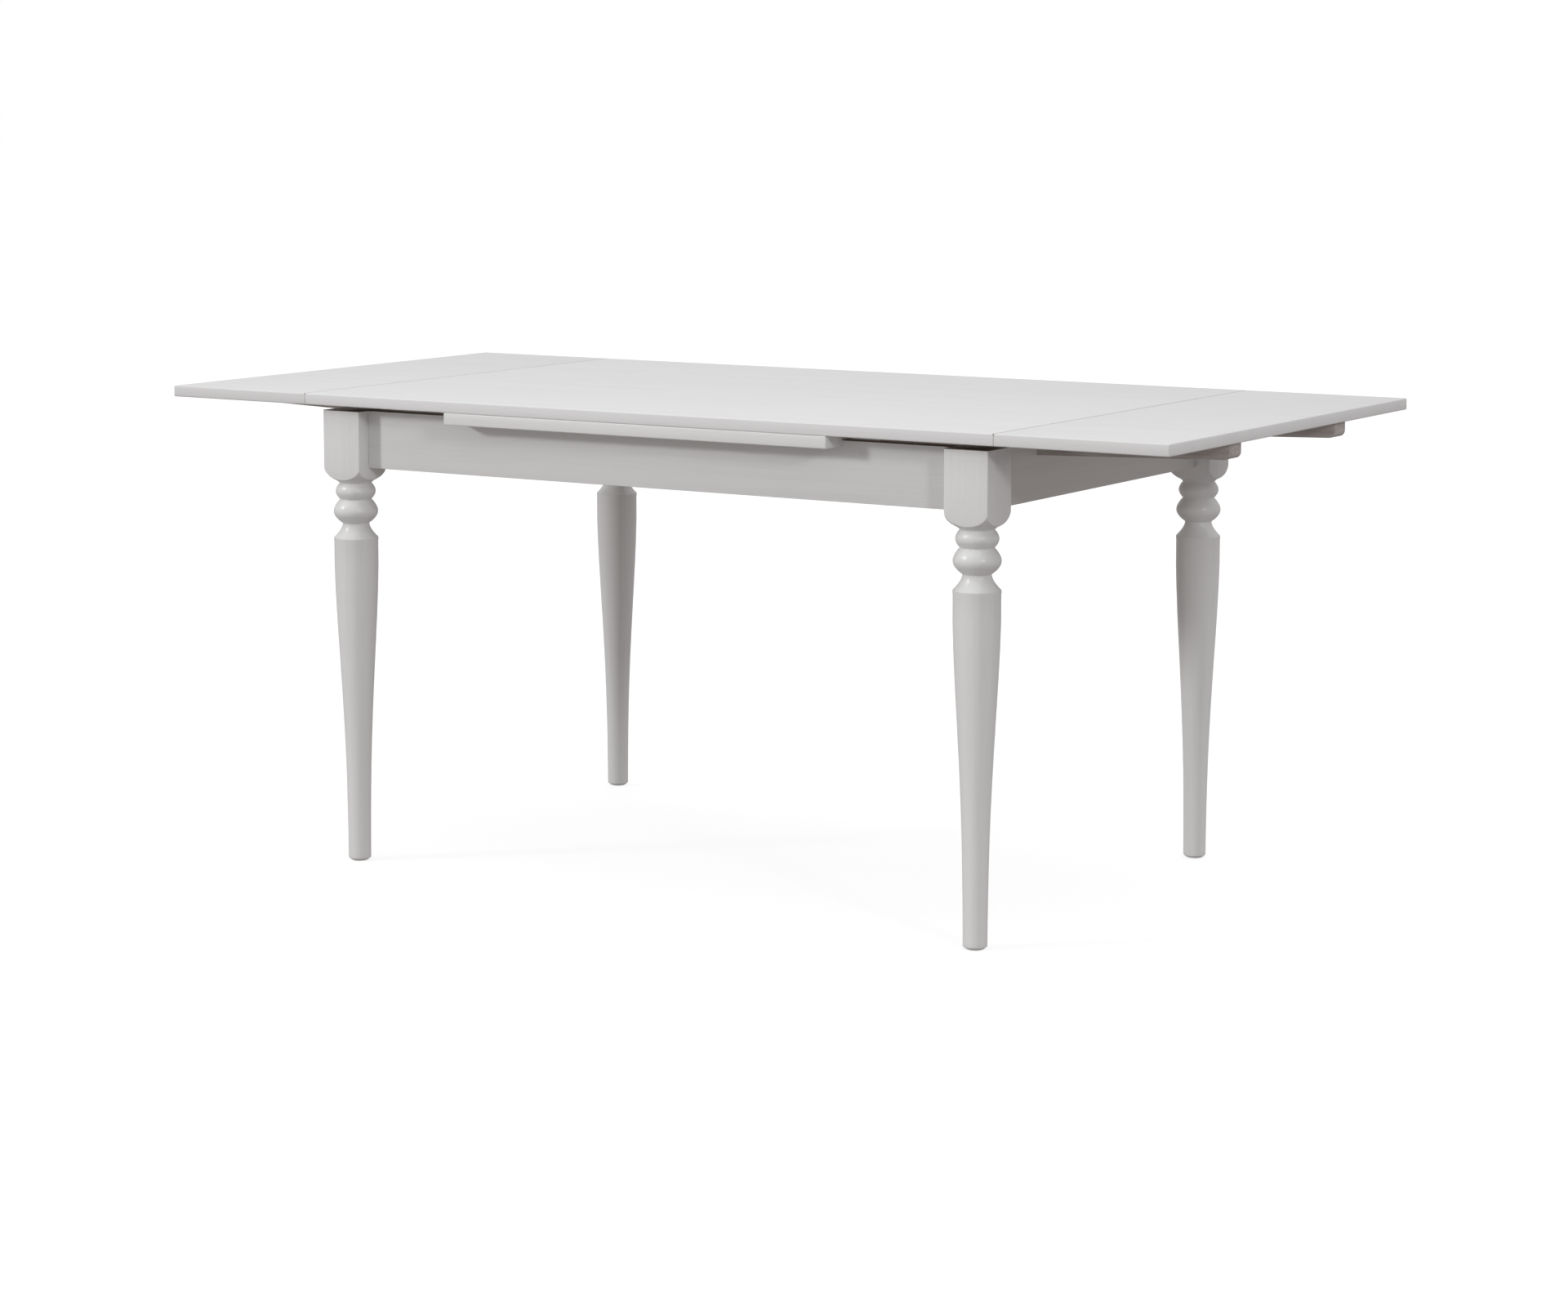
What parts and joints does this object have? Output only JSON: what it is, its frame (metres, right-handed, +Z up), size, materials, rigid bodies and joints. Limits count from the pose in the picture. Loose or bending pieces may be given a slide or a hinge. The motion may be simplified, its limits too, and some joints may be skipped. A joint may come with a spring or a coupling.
{
  "type": "extendable dining table",
  "caption": "Draw-leaf dining table in white-painted wood: loose main top over a fixed centre board, a leaf on tapered runners at each end, turned legs.",
  "frame": {"origin": "on the floor under the middle of the table, with the leaves drawn out", "axes": "+X along the table's length towards the right-hand leaf, +Y across its depth away from the front, +Z up"},
  "size_m": [1.8, 0.85, 0.76],
  "materials": {
    "top_paint": "satin white paint",
    "frame_paint": "satin white paint",
    "leg_paint": "satin white paint",
    "runner_paint": "thin satin paint",
    "bare_wood": "unfinished",
    "dowel_wood": "unfinished",
    "screw_steel": "zinc plated",
    "bolt_steel": "zinc plated",
    "glide_plastic": "matt"
  },
  "bodies": {
    "frame": {"center_board": "frame_paint", "center_board_screws": "screw_steel", "apron_front": "frame_paint", "apron_back": "frame_paint", "apron_left": "frame_paint", "apron_right": "frame_paint", "cross_rail_left": "bare_wood", "cross_rail_right": "bare_wood", "cross_rail_dowels": "dowel_wood", "apron_dowels": "dowel_wood", "leg_front_left": "leg_paint", "leg_front_right": "leg_paint", "leg_back_left": "leg_paint", "leg_back_right": "leg_paint", "corner_block_front_left": "bare_wood", "corner_block_front_right": "bare_wood", "corner_block_back_left": "bare_wood", "corner_block_back_right": "bare_wood", "corner_bolts": "bolt_steel", "corner_bolt_washers": "bolt_steel", "corner_bolt_nuts": "bolt_steel", "corner_block_screws": "screw_steel", "foot_glides": "glide_plastic"},
    "top": {"main_top": "top_paint", "guide_pegs": "dowel_wood", "peg_stop_discs": "dowel_wood", "peg_screws": "screw_steel"},
    "left_leaf": {"leaf_left": "top_paint", "runner_left_front": "runner_paint", "runner_left_back": "runner_paint", "leaf_left_screws": "screw_steel", "leaf_left_stop_pegs": "dowel_wood"},
    "right_leaf": {"leaf_right": "top_paint", "runner_right_front": "runner_paint", "runner_right_back": "runner_paint", "leaf_right_screws": "screw_steel", "leaf_right_stop_pegs": "dowel_wood"}
  },
  "joints": [
    {"name": "top_lift", "type": "slide", "parent": "frame", "child": "top", "axis": [0, 0, 1], "range_m": [0, 0.04]},
    {"name": "leaf_left_draw", "type": "slide", "parent": "frame", "child": "left_leaf", "axis": [-0.9995, 0, 0.0313], "range_m": [0, 0.01]},
    {"name": "leaf_right_draw", "type": "slide", "parent": "frame", "child": "right_leaf", "axis": [0.9995, 0, 0.0313], "range_m": [0, 0.01]}
  ]
}
